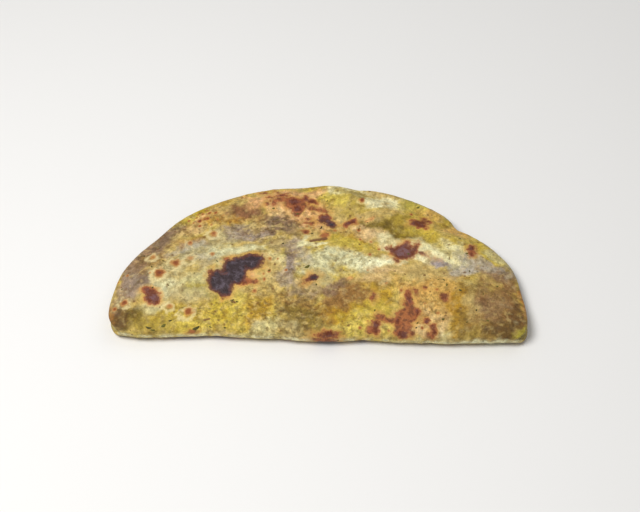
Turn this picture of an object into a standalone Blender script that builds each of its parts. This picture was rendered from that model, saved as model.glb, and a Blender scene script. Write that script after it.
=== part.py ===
"""A paratha folded in half: one round flatbread, bent over on itself along a straight fold.

Frame: metres, +Z up. The fold runs along X and faces -Y, the open arc faces +Y, and the lower flap
rests on Z = 0. The origin is the middle of the bounding box's bottom.
"""

import math

import bmesh
import bpy

MM = 0.001

# Driving sizes
DISC_RADIUS = 88.8 * MM  # of the round bread before it was folded
WIDER_ENDS = 3.1 * MM  # the disc reaches this much further along the fold, and less across it
THICKNESS = 4.2 * MM  # of the bread away from its rim
RIM_THICKNESS = 2.8 * MM
RIM_TAPER = 12.0 * MM  # how far in from the rim the bread thins
BEND_RADIUS = 2.8 * MM  # of the middle of the bread's thickness, round the fold
LOWER_INSET = 3.0 * MM  # how far the lower flap stops short of the upper one
GAP = 0.6 * MM  # between the two flaps where the upper one lies closest

# Uneven outline: (direction in degrees, width in degrees, how far the rim goes out)
OUTLINE_LOBES = (
    (5, 5.0, -0.9 * MM),
    (28, 9.0, 3.9 * MM),
    (44.5, 3.6, -2.4 * MM),
    (57, 7.0, 2.9 * MM),
    (88, 13.0, -0.6 * MM),
    (112, 13.0, 0.5 * MM),
    (134, 9.0, 0.7 * MM),
    (158, 9.0, 1.8 * MM),
    (235, 20.0, 1.2 * MM),
    (310, 16.0, -1.0 * MM),
)
# The rim draws in where it goes round the fold: (side, how far, over what length)
FOLD_ENDS = ((-1, 7.5 * MM, 4.0 * MM), (1, 6.5 * MM, 3.2 * MM))
# The fold isn't quite straight: (x, half width, how far it stands back)
FOLD_BOWS = (
    (-80 * MM, 18 * MM, -1.5 * MM),
    (-45 * MM, 9 * MM, 0.7 * MM),
    (0, 11 * MM, -1.0 * MM),
    (20 * MM, 8 * MM, 0.5 * MM),
    (78 * MM, 13 * MM, 1.1 * MM),
)
BOW_FADE = 30.0 * MM  # the bows fade out over this distance from the fold

# Waves of the upper flap: (start x, start y, end x, end y, half width, rise), y from the fold
WAVES = (
    (2 * MM, 84 * MM, 26 * MM, 64 * MM, 8 * MM, 2.8 * MM),
    (26 * MM, 64 * MM, 56 * MM, 47 * MM, 11 * MM, 4.0 * MM),
    (56 * MM, 47 * MM, 88 * MM, 41 * MM, 11 * MM, 2.6 * MM),
    (26 * MM, 84 * MM, 54 * MM, 71 * MM, 8 * MM, 3.4 * MM),
    (-66 * MM, 62 * MM, -20 * MM, 76 * MM, 9 * MM, 1.8 * MM),
    (-72 * MM, 22 * MM, -4 * MM, 38 * MM, 17 * MM, 3.2 * MM),
    (-4 * MM, 38 * MM, 62 * MM, 18 * MM, 15 * MM, 2.4 * MM),
)
WAVE_BLEND = 3.0  # how sharply one wave gives way to the next
SETTLING = 18.0 * MM  # over this distance from the fold the upper flap comes down to lie on the lower
OVERHANG_DROP = 7.0 * MM  # beyond the lower flap's rim, the upper one sinks over this distance
LOWEST_RIM = 0.5 * MM  # the least height of the upper flap's underside, past the lower flap

# The cage: an even number of cells each way, closer together at the fold and at the rim
CELLS_ALONG, CELLS_ACROSS = 22, 26
RIM_CROWDING, FOLD_CROWDING = 0.55, 0.72

CRUST_COLOUR = (0.46, 0.35, 0.10, 1.0)
CRUST_ROUGHNESS = 0.55

HALF_BEND = BEND_RADIUS * math.pi / 2  # along the bread, from the fold's middle to its end
FRONT = BEND_RADIUS + THICKNESS / 2  # from the bend's axis to the front of the fold


def smooth(x):
    """0 below 0, 1 above 1, and an even rise between."""
    x = min(max(x, 0.0), 1.0)
    return x * x * (3 - 2 * x)


def bell(x):
    return math.exp(-x * x)


def rim_radius(angle):
    """From the disc's middle to its rim. 0 is along the fold, 90 degrees the upper flap's middle."""
    radius = DISC_RADIUS + WIDER_ENDS * math.cos(2 * angle)
    radius -= LOWER_INSET * max(0.0, -math.sin(angle))
    for direction, width, rise in OUTLINE_LOBES:
        off = math.remainder(angle - math.radians(direction), 2 * math.pi)
        radius += rise * bell(off / math.radians(width))
    for side, drawn_in, length in FOLD_ENDS:
        if side * math.cos(angle) > 0:
            radius -= drawn_in * math.exp(-abs(DISC_RADIUS * math.sin(angle)) / length)
    return radius


def to_rim(x, y):
    """Distance from a point of the flat disc to its rim, along the radius."""
    return rim_radius(math.atan2(y, x)) - math.hypot(x, y)


def bread_thickness(x, y):
    return RIM_THICKNESS + (THICKNESS - RIM_THICKNESS) * smooth(to_rim(x, y) / RIM_TAPER)


def fold_bow(x):
    return sum(back * bell((x - middle) / width) for middle, width, back in FOLD_BOWS)


def wave_height(x, y):
    """How far the waves lift the upper flap at this place."""
    total = 0.0
    for x0, y0, x1, y1, half_width, rise in WAVES:
        run_x, run_y = x1 - x0, y1 - y0
        share = ((x - x0) * run_x + (y - y0) * run_y) / (run_x**2 + run_y**2)
        share = min(max(share, 0.0), 1.0)
        away = math.hypot(x - x0 - share * run_x, y - y0 - share * run_y)
        total += (rise * bell(away / half_width)) ** WAVE_BLEND
    return total ** (1 / WAVE_BLEND)


def upper_level(x, y):
    """Height of the middle of the upper flap, at a point of the flat disc past the fold."""
    along = y - HALF_BEND
    settled = smooth(along / SETTLING)
    upper, lower = bread_thickness(x, y), bread_thickness(x, -y)
    resting = (THICKNESS + lower) / 2 + GAP + wave_height(x, y)
    hanging = smooth(1 + to_rim(x, -y) / OVERHANG_DROP)
    lying = upper / 2 + LOWEST_RIM + (resting - LOWEST_RIM) * hanging
    folded = THICKNESS / 2 + 2 * BEND_RADIUS
    return folded + (lying - folded) * settled


def folded(x, y):
    """Where a point of the flat disc lies once it is folded, on the middle of its thickness."""
    along = abs(y) - HALF_BEND
    bow = fold_bow(x) * (1 - smooth(along / BOW_FADE))
    if along < 0:
        turn = y / BEND_RADIUS
        depth = FRONT - BEND_RADIUS * math.cos(turn)
        return x, depth + bow, THICKNESS / 2 + BEND_RADIUS * (1 + math.sin(turn))
    return x, FRONT + along + bow, upper_level(x, y) if y > 0 else THICKNESS / 2


def crowded(cell, middle, edge):
    """Moves a cell line from -1 to 1 towards the middle and the edges by those shares."""
    size = abs(cell)
    inward = 3 * size**2 - 2 * size**3
    outward = 1.5 * size - 0.5 * size**3
    kept = 1 - middle - edge
    return math.copysign(kept * size + middle * inward + edge * outward, cell)


def disc_point(cell_x, cell_y):
    """Where a point of the square cage lies on the flat disc."""
    a = crowded(cell_x, 0.0, RIM_CROWDING)
    b = crowded(cell_y, FOLD_CROWDING, 0.0)
    x, y = a * math.sqrt(1 - b * b / 2), b * math.sqrt(1 - a * a / 2)
    radius = rim_radius(math.atan2(y, x))
    return x * radius, y * radius


def paratha_cage():
    """The middle surface of the folded bread, with how thick it is in a vertex group."""
    mesh = bpy.data.meshes.new("paratha")
    bread = bpy.data.objects.new("paratha", mesh)
    body = bread.vertex_groups.new(name="body")
    cage = bmesh.new()
    weights = cage.verts.layers.deform.verify()
    bmesh.ops.create_grid(cage, x_segments=CELLS_ALONG, y_segments=CELLS_ACROSS, size=1)
    for vertex in cage.verts:
        x, y = disc_point(vertex.co.x, vertex.co.y)
        thinned = (THICKNESS - bread_thickness(x, y)) / (THICKNESS - RIM_THICKNESS)
        vertex[weights][body.index] = 1 - thinned
        vertex.co = folded(x, y)
    cage.to_mesh(mesh)
    cage.free()
    return bread


def thicken(bread):
    """Gives the sheet its thickness, thinner at the rim, and rounds it."""
    solid = bread.modifiers.new("thickness", "SOLIDIFY")
    solid.thickness = THICKNESS
    solid.offset = 0
    solid.use_even_offset = True
    solid.vertex_group = "body"
    solid.thickness_vertex_group = RIM_THICKNESS / THICKNESS
    rounding = bread.modifiers.new("rounding", "SUBSURF")
    rounding.levels = rounding.render_levels = 1


def centre_on_origin(bread):
    """Puts the middle of the bounding box's bottom on the origin."""
    bpy.context.view_layer.update()
    evaluated = bread.evaluated_get(bpy.context.evaluated_depsgraph_get())
    points = [vertex.co.copy() for vertex in evaluated.data.vertices]
    low = [min(point[axis] for point in points) for axis in range(3)]
    high = [max(point[axis] for point in points) for axis in range(3)]
    bread.location = (-(low[0] + high[0]) / 2, -(low[1] + high[1]) / 2, -low[2])


def crust():
    material = bpy.data.materials.new("crust")
    material.use_nodes = True
    surface = material.node_tree.nodes["Principled BSDF"]
    surface.inputs["Base Color"].default_value = CRUST_COLOUR
    surface.inputs["Roughness"].default_value = CRUST_ROUGHNESS
    surface.inputs["Metallic"].default_value = 0.0
    return material


def main():
    for old in list(bpy.data.objects):
        bpy.data.objects.remove(old)
    collection = bpy.data.collections.new("paratha_flatbread")
    bpy.context.scene.collection.children.link(collection)
    bread = paratha_cage()
    collection.objects.link(bread)
    bread.data.materials.append(crust())
    bread.data.shade_smooth()
    thicken(bread)
    centre_on_origin(bread)


main()
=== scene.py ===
"""The looks of the folded paratha: its fine surface, its browning and its herb flecks.

Lengths are in millimetres until a mesh is made. The bread is worked out on the flat disc it was before it
was folded: x runs along the fold and y across it, with the fold's middle line at y = 0, the upper flap at
y > 0 and the lower flap at y < 0. A place on the crust is x and v, where v is the way from the fold's
middle line along the outer skin, which is longer round the bend than the middle of the dough is. The
upper flap's marks are written down as they look from in front and above: on_crust works out where they are.
"""

import math

import bpy
import numpy as np
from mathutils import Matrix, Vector


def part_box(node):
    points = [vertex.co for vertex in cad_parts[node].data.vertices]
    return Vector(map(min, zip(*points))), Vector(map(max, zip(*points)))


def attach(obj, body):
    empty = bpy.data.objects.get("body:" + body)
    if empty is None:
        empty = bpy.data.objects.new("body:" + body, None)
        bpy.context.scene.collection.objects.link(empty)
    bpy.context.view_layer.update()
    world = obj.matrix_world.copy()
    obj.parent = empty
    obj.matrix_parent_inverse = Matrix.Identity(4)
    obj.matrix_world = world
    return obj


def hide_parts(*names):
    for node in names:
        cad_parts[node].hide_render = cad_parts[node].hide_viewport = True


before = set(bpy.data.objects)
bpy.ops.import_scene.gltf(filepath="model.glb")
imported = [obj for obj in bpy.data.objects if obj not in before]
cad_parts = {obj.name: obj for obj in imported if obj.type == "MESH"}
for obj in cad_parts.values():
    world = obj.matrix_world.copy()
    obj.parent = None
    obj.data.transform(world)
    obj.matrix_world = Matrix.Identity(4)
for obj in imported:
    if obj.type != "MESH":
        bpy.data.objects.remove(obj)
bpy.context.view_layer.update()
scene = bpy.context.scene

MM = 0.001

# The folded bread, as the frame has it
DISC_RADIUS = 88.8
WIDER_ENDS = 3.1
THICKNESS = 4.2
RIM_THICKNESS = 2.8
RIM_TAPER = 12.0
BEND_RADIUS = 2.8
LOWER_INSET = 3.0
GAP = 0.6
SETTLING = 18.0
OVERHANG_DROP = 7.0
LOWEST_RIM = 0.5
BOW_FADE = 30.0
WAVE_BLEND = 3.0
WAVE_SHARE = 0.83  # the frame's wide cells round the waves' tops off, and this keeps to its height
# Direction and width in degrees, and how far the rim goes out
OUTLINE_LOBES = (
    (5, 5.0, -0.9), (28, 9.0, 3.9), (44.5, 3.6, -2.4), (57, 7.0, 2.9), (88, 13.0, -0.6),
    (112, 13.0, 0.5), (134, 9.0, 0.7), (158, 9.0, 1.8), (235, 20.0, 1.2), (310, 16.0, -1.0),
)
FOLD_ENDS = ((-1, 7.5, 4.0), (1, 6.5, 3.2))  # side, how far the rim draws in, over what length
FOLD_BOWS = ((-80, 18, -1.5), (-45, 9, 0.7), (0, 11, -1.0), (20, 8, 0.5), (78, 13, 1.1))
# Start, end, half width and rise of each wave of the upper flap, with y from the front of the fold
WAVES = (
    (2, 84, 26, 64, 8, 2.8), (26, 64, 56, 47, 11, 4.0), (56, 47, 88, 41, 11, 2.6),
    (26, 84, 54, 71, 8, 3.4), (-66, 62, -20, 76, 9, 1.8), (-72, 22, -4, 38, 17, 3.2),
    (-4, 38, 62, 18, 15, 2.4),
)
HALF_BEND = BEND_RADIUS * math.pi / 2
FRONT = BEND_RADIUS + THICKNESS / 2
SKIN_STRETCH = FRONT / BEND_RADIUS  # of the outer skin round the bend

# The mesh: cells along and across the fold, and how much closer the rows lie in each region
COLUMNS, ROWS = 276, 280
LOWER_DENSITY, BEND_DENSITY = 0.6, 1.9
LOWER_FROM, BEND_REACH = 6.0, 5.0
RIM_EDGE = 1.5  # the cells crowd towards the rim over about this distance
BEND_FADE = 4.0
RIM_ROUNDING = 1.7  # how far in from the rim the edge is rounded
RELIEF_FADE = 2.0  # the relief fades over this distance to the rim
INNER_INSET = 0.9  # how far inside the outer skin's rim the inner skin's is
INNER_RELIEF = 0.12
INNER_PLACE = 400  # what the inner skin's places are moved by, so that its noise is another


def smooth(x):
    x = np.clip(x, 0.0, 1.0)
    return x * x * (3 - 2 * x)


def bell(x):
    return np.exp(-x * x)


# --- Noise ---


def noise(x, y, cell, seed):
    """Even gradient noise, about -1 to 1, whose lumps are this many millimetres apart."""
    side = 256
    turn = np.random.default_rng(seed).uniform(0, 2 * np.pi, (side, side))
    u, v = x / cell + seed * 7.31, y / cell + seed * 3.77
    i, j = np.floor(u).astype(int), np.floor(v).astype(int)
    u, v = u - i, v - j
    fade_u, fade_v = (t * t * t * (t * (6 * t - 15) + 10) for t in (u, v))

    def corner(di, dj):
        angle = turn[(i + di) % side, (j + dj) % side]
        return np.cos(angle) * (u - di) + np.sin(angle) * (v - dj)

    near = corner(0, 0) + fade_u * (corner(1, 0) - corner(0, 0))
    far = corner(0, 1) + fade_u * (corner(1, 1) - corner(0, 1))
    return 1.5 * (near + fade_v * (far - near))


def rough_noise(x, y, cell, seed, octaves=3, keep=0.55):
    """Noise with finer noise on it, each octave turned so that no grid shows."""
    total, size, share = 0.0, 1.0, 0.0
    for octave in range(octaves):
        angle = 0.6 + 1.1 * octave
        u = x * math.cos(angle) - y * math.sin(angle)
        v = x * math.sin(angle) + y * math.cos(angle)
        total = total + size * noise(u, v, cell / 2**octave, seed + octave)
        share += size
        size *= keep
    return total / share * 1.25


# --- The folded sheet ---


def rim_radius(angle):
    """From the disc's middle to its rim. 0 is along the fold, 90 degrees the upper flap's middle."""
    radius = DISC_RADIUS + WIDER_ENDS * np.cos(2 * angle)
    radius = radius - LOWER_INSET * np.maximum(0.0, -np.sin(angle))
    for direction, width, rise in OUTLINE_LOBES:
        off = (angle - math.radians(direction) + np.pi) % (2 * np.pi) - np.pi
        radius = radius + rise * bell(off / math.radians(width))
    for side, drawn_in, length in FOLD_ENDS:
        near = np.exp(-np.abs(DISC_RADIUS * np.sin(angle)) / length)
        radius = radius - drawn_in * near * (side * np.cos(angle) > 0)
    return radius


def to_rim(x, y):
    return rim_radius(np.arctan2(y, x)) - np.hypot(x, y)


def bread_thickness(x, y):
    return RIM_THICKNESS + (THICKNESS - RIM_THICKNESS) * smooth(to_rim(x, y) / RIM_TAPER)


def way_off(x, y, x0, y0, x1, y1):
    """How far each place is from the line between two points."""
    run_x, run_y = x1 - x0, y1 - y0
    share = np.clip(((x - x0) * run_x + (y - y0) * run_y) / (run_x**2 + run_y**2), 0, 1)
    return np.hypot(x - x0 - share * run_x, y - y0 - share * run_y)


def wave_height(x, y):
    total = 0.0
    for x0, y0, x1, y1, half_width, rise in WAVES:
        total = total + (rise * bell(way_off(x, y, x0, y0, x1, y1) / half_width)) ** WAVE_BLEND
    return WAVE_SHARE * total ** (1 / WAVE_BLEND)


def upper_level(x, y):
    """Height of the middle of the upper flap, past the fold."""
    settled = smooth((y - HALF_BEND) / SETTLING)
    upper, lower = bread_thickness(x, y), bread_thickness(x, -y)
    resting = (THICKNESS + lower) / 2 + GAP + wave_height(x, y)
    hanging = smooth(1 + to_rim(x, -y) / OVERHANG_DROP)
    lying = upper / 2 + LOWEST_RIM + (resting - LOWEST_RIM) * hanging
    folded = THICKNESS / 2 + 2 * BEND_RADIUS
    return folded + (lying - folded) * settled


def folded(x, y):
    """The middle of the dough once it is folded, as an array of points."""
    along = np.abs(y) - HALF_BEND
    bow = sum(back * bell((x - middle) / width) for middle, width, back in FOLD_BOWS)
    bow = bow * (1 - smooth(along / BOW_FADE))
    turn = np.clip(y / BEND_RADIUS, -np.pi / 2, np.pi / 2)
    bent = THICKNESS / 2 + BEND_RADIUS * (1 + np.sin(turn))
    flat = np.where(y > 0, upper_level(x, np.abs(y)), THICKNESS / 2)
    depth = FRONT - BEND_RADIUS * np.cos(turn) + np.maximum(along, 0) + bow
    return np.stack([x, depth, np.where(along < 0, bent, flat)], -1)


def outward(x, y):
    """Unit normals of the folded sheet, on the side that was baked and now shows."""
    step = 0.05
    along_x = folded(x + step, y) - folded(x - step, y)
    along_y = folded(x, y + step) - folded(x, y - step)
    normal = np.cross(along_x, along_y)
    return normal / np.linalg.norm(normal, axis=-1, keepdims=True)


def skin_way(y):
    """From the fold's middle line to y, along the outer skin."""
    return np.sign(y) * (np.abs(y) + (SKIN_STRETCH - 1) * np.minimum(np.abs(y), HALF_BEND))


def half_thickness(x, y):
    """Half the dough's thickness, rounded off to nothing at the rim."""
    edge = np.clip(1 - to_rim(x, y) / RIM_ROUNDING, 0, 1)
    return bread_thickness(x, y) / 2 * np.sqrt(1 - edge**2)


# --- Browning ---


def on_screen(red, green, blue):
    """A linear colour from what it looks like, as 0 to 255 on a screen."""
    share = np.array((red, green, blue)) / 255
    return np.where(share <= 0.04045, share / 12.92, ((share + 0.055) / 1.055) ** 2.4)


# The marks, as they look from this far above the horizon, laid out on a level plane this high. on_crust
# places those from the fold backwards. Those with v below 0 are on the fold's lower half and the underside
LEVEL = 8.0
SEEN_FROM = 50.5
EYE_HEIGHT = 457.0
FOLD_LOOKS = 1.4  # where the front of the fold looks to be

# Spots: x, v, half length, half width, turn in degrees
CHARRED = (
    (-31.2, 40.6, 5.2, 3.4, 8), (-27.4, 42.2, 1.7, 1.6, 20), (-30.4, 38.2, 3.4, 2, 10),
    (-37.8, 37, 5.4, 4.4, 45), (-35.6, 33.6, 3, 3.2, 0), (-43.6, 28.6, 5, 4.8, 0),
    (-41.4, 24, 2.8, 3.2, 0), (-37.6, 31.4, 3.6, 3.4, 0), (-46.2, 32.6, 2.2, 1.4, 30),
    (3.9, 63.4, 2, 1.4, -30), (0.9, 65.1, 1.7, 0.8, -10), (-2.6, 32.4, 1.6, 1.2, 20),
    (4, -3.6, 4, 1.8, 0), (-57, -10, 13, 5.5, 4), (-42, -10, 5, 6, 0), (19.5, -9, 2.6, 5.2, -6),
)
SCORCHED = (
    (4.2, 0.9, 3.8, 1.3, 0), (36.8, 47.8, 5.3, 3.7, 0), (31.6, 49.4, 2.2, 1, -20),
    (37.8, 51.4, 2, 1.3, 60), (42.2, 50, 2.4, 1.1, 60), (36.8, 45.2, 2.2, 1, 0),
    (-34.6, 29.6, 2.4, 1.7, -20), (43.5, 65.6, 2.9, 1.5, 0), (45.2, 63.8, 1.7, 0.9, -10),
    (46.1, 67.6, 1.1, 0.8, 60), (47.8, 66, 1, 0.8, 0), (67.4, 51.3, 1.9, 1.3, 35),
    (67.4, 47.8, 1.2, 0.8, 0), (-72.6, 19, 3, 2.9, -35), (-70.8, 17.6, 2, 1.9, 0),
    (-75, 22, 1.4, 1, -60), (1, 67.2, 2, 1.6, 0), (-7.7, 58.1, 1.2, 0.9, -30),
    (13.2, 64.4, 2.4, 1.2, 32), (24.8, 6.4, 1.7, 3, 0), (36.6, 2, 2, 1.7, 0), (39.3, 21.6, 1.1, 2.6, 8),
    (34.2, 9, 1.3, 1.1, 0), (42.8, 14.2, 0.9, 1.7, -5), (46.4, 9.9, 1, 1.1, 0), (49.6, 6.9, 0.9, 1.1, 0),
    (49.7, 3.9, 1.1, 1.2, 0), (-5.4, 76.7, 2.5, 1.3, -20), (-19.6, 79.9, 1.5, 0.7, 0),
    (-13.6, 76.4, 3.2, 1.8, 0), (-11.8, 72.2, 1.9, 1.9, 0), (-8, 79, 0.8, 1.1, 0),
    (-13.5, -10, 3.4, 4.4, 0), (-33.5, -9, 1.8, 4.2, 30), (36, -11, 2.2, 2.2, 0), (57, -8, 2.4, 1.4, 20),
)
BROWNED = (
    (-13, 75.2, 4.8, 3.8, 0), (-11.6, 70.8, 2.2, 2.2, 0), (-11.8, 68.2, 1, 0.9, 0),
    (-22.4, 75.6, 1.1, 1.6, 0), (-17.6, 77.4, 1.8, 0.6, 8), (-19.4, 79.8, 1.6, 0.9, 0),
    (-21, 81.3, 1.3, 0.4, -45), (-17.4, 81.2, 1.2, 0.4, 50), (-27.3, 81, 1.3, 0.7, 0),
    (-24.6, 79, 0.9, 0.6, 0), (-7.9, 79.2, 1.2, 1.4, 0), (-3.4, 72.4, 3.8, 1, -17),
    (-20, 77.4, 1.4, 0.8, 0), (-6.2, 66.2, 1, 0.7, 30), (-4.6, 63.2, 0.8, 1, 0), (-7.6, 63.8, 1, 0.6, 0),
    (-26, 74.6, 0.7, 0.5, 0), (0.9, 70.9, 0.9, 0.7, 0), (1.4, 56.4, 1.8, 1.2, 60),
    (39.2, 17.6, 2.4, 3, 15), (39.1, 23.4, 1.1, 2.2, 0), (37.2, 12.8, 3.8, 3, 35),
    (36.8, 7.6, 3.2, 3.6, 0), (41.8, 16, 1.3, 1.6, 30), (30, 10, 3.4, 1.1, -5),
    (26.2, 11.4, 1.6, 1.8, 0), (22.6, 4.6, 1.4, 1.7, 0), (33.6, 3.4, 1.2, 1.2, 0),
    (40.6, 2.9, 1.2, 1, 0), (47.2, 2.6, 1, 0.8, 0), (48.8, 1.3, 0.7, 0.5, 0), (45.4, 47, 2.6, 0.7, -22),
    (33.4, 43.2, 1.5, 0.8, -30), (-47.8, 32.4, 1.5, 2.4, 15), (-41.2, 21.2, 1.6, 1.8, 0),
    (-32.4, 29.6, 2.4, 1.5, -10), (-28.8, 28.8, 1.5, 0.8, -10), (-33.6, 33.6, 0.9, 1.3, 0),
    (-42, 41.4, 1.2, 0.9, 20), (-75.4, 22.4, 1.6, 1.6, 0), (-4.8, 30.6, 1.9, 0.9, 40),
    (11.2, 62.4, 1.2, 0.8, 20), (67.6, 48.6, 1.4, 1.4, 0), (3, -0.4, 4.6, 1.6, 0),
    (23.8, 22, 1.3, 1.8, 0), (54.6, 23.2, 1.6, 2, 0), (42.6, 25.6, 1, 1.5, 30), (39, 12, 3.4, 3.4, 0),
    (46.4, 28.4, 0.4, 0.6, 0), (-53.5, 0.4, 1.3, 0.9, 0),
)
# Slits of the skin: x and v of both ends, half width
SLITS = (
    (-4.4, 53.2, 2, 54.7, 0.7), (-48.8, 7.4, -46.6, 7.9, 0.3), (-36.2, 17.2, -38, 18.2, 0.3),
)
# Blisters: x, v, radius, how brown the middle is
BLISTERS = (
    (-74.5, 41.2, 1.7, 0.5), (-64.3, 38, 2.3, 0.9), (-70.8, 32.2, 2.4, 1.15), (-58, 41, 2.3, 0.3),
    (-48.4, 43.6, 1.3, 0.6), (-49, 56, 1.8, 0.7), (-59, 50, 1.3, 0.8), (-84, 15, 1.8, 1),
    (-88, 11.5, 1.1, 0.9), (-64.5, 14, 1.6, 0.5), (-56, 11.2, 2.4, 0.8), (51.5, 27.2, 1, 0.7),
    (51.8, 14.3, 1, 0.6), (46.2, 19.4, 0.7, 0.7), (46.4, 27, 0.8, 0.6), (36.1, 26, 0.9, 0.9),
    (22, 46, 1, 0.8), (21, 37, 0.8, 0.6), (40.5, 70.2, 0.9, 0.9), (17.8, 78.3, 1.2, 1.1),
    (-22.5, 42, 0.9, 0.8), (-19, 42, 0.6, 0.8), (-22.5, 35.2, 0.8, 0.9), (-15, 36, 0.7, 0.8),
    (-24.4, 30.4, 1, 0.8), (-24.8, 33.4, 0.8, 0.6), (-28.2, 23.8, 1.2, 0.7), (17.2, 60.3, 1, 1),
    (17.6, 54.5, 0.8, 0.8), (22.5, 53.3, 0.8, 0.7), (26, 49, 0.9, 0.8), (18, 5.2, 0.9, 0.8),
    (21.6, 9, 0.7, 0.6), (29.5, 30, 0.7, 0.6), (30.6, 4.2, 0.7, 0.7), (44.8, 6, 0.8, 1),
    (42.3, 9.8, 0.9, 0.8), (-55.8, 63, 1.1, 1.4), (-53.8, 64.2, 0.8, 1.1), (-52.2, 64.8, 0.9, 1.2),
    (-51.8, 68, 0.9, 1.2), (-49.1, 68.3, 0.9, 1.1), (-54.8, 67.2, 0.9, 1), (-53.2, 69.6, 0.6, 1),
    (-55.6, 60, 0.8, 1.1), (-60.8, 62.8, 0.7, 1), (-58.5, 61.5, 0.6, 0.9), (-57.6, 64.8, 0.5, 0.9),
    (-50.5, 61, 0.6, 0.7), (-57, 66.6, 0.6, 0.9), (-48, 64.5, 0.7, 0.7), (-45.5, 67, 0.6, 0.7),
    (-24.5, 76.5, 0.7, 0.9), (-26.8, 78.6, 0.6, 0.8), (-6.8, 61.6, 0.7, 0.9), (-3.6, 60.6, 0.6, 0.8),
    (-9.4, 65.2, 0.6, 0.8), (-29.6, 80.6, 0.6, 0.7), (-84.5, 30, 0.8, 0.8), (-88, 26, 0.7, 0.7),
    (-75, 32, 0.6, 0.6), (5.8, 59.6, 0.9, 0.9), (3, 58.2, 0.6, 0.8), (2.8, 68.3, 0.7, 1),
)
LEAST_RINGED = 0.8  # the radius from which a blister has a pale ring
# Flecks of herb in the skin: x, v, half length, half width, turn in degrees
HERBS = (
    (-5.6, 38, 1.6, 0.8, 35), (24.5, 14.9, 0.9, 0.4, 80), (56, 30.2, 1, 0.4, 80),
    (61.7, 27.2, 0.9, 0.5, -20), (68.3, 16.5, 0.7, 0.4, 70), (44, 74.7, 0.9, 0.5, 15),
    (-22.8, 72, 0.8, 0.5, 10), (-0.3, 61.2, 1.2, 0.45, 75), (-22.4, 35.3, 0.8, 0.4, 30),
    (-66, 3.4, 1.3, 0.8, 30), (-72.4, 2, 1.6, 0.5, -15), (-70.4, 0.8, 1.2, 0.4, -10),
    (-63.4, 6.2, 1, 0.4, 10), (-52, 2.4, 2, 0.8, 22), (-46, 3.4, 1, 0.35, -20),
    (-39.5, 3.2, 0.7, 0.35, 0), (-37.6, 18.3, 1.1, 0.35, 25), (-35.4, 17.5, 0.8, 0.35, -20),
    (17.2, 60.9, 0.7, 0.4, 60),
)

# The crust's colours
YELLOW = on_screen(194, 168, 56)
LEMON = on_screen(210, 188, 84)
MUSTARD = on_screen(168, 143, 46)
LIME = on_screen(172, 158, 58)
SAGE = on_screen(214, 210, 164)
CREAM = on_screen(232, 224, 172)
MILK = on_screen(250, 246, 200)
SAND = on_screen(200, 173, 106)
PEACH = on_screen(230, 176, 120)
GOLD = on_screen(174, 130, 22)
TAUPE = on_screen(162, 144, 128)
UMBER = on_screen(142, 112, 82)
SMOKE = on_screen(124, 101, 78)
MOSS = on_screen(152, 116, 62)
OLIVE = on_screen(146, 118, 52)
FERN = on_screen(120, 98, 28)
TAN = on_screen(150, 110, 54)
BROWN = on_screen(134, 90, 58)
RUST = on_screen(164, 112, 52)
BEIGE = on_screen(222, 188, 132)
AMBER = on_screen(206, 146, 84)
HONEY = on_screen(212, 168, 88)
LICHEN = on_screen(184, 172, 128)
COFFEE = on_screen(98, 68, 28)
CORN = on_screen(220, 196, 80)
# Painted sheen: pale greys that stand in for the lamps' reflection on tilted slopes
PAINTED_SHEEN_GREY = on_screen(176, 166, 150)
PAINTED_SHEEN = on_screen(158, 146, 142)

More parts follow.
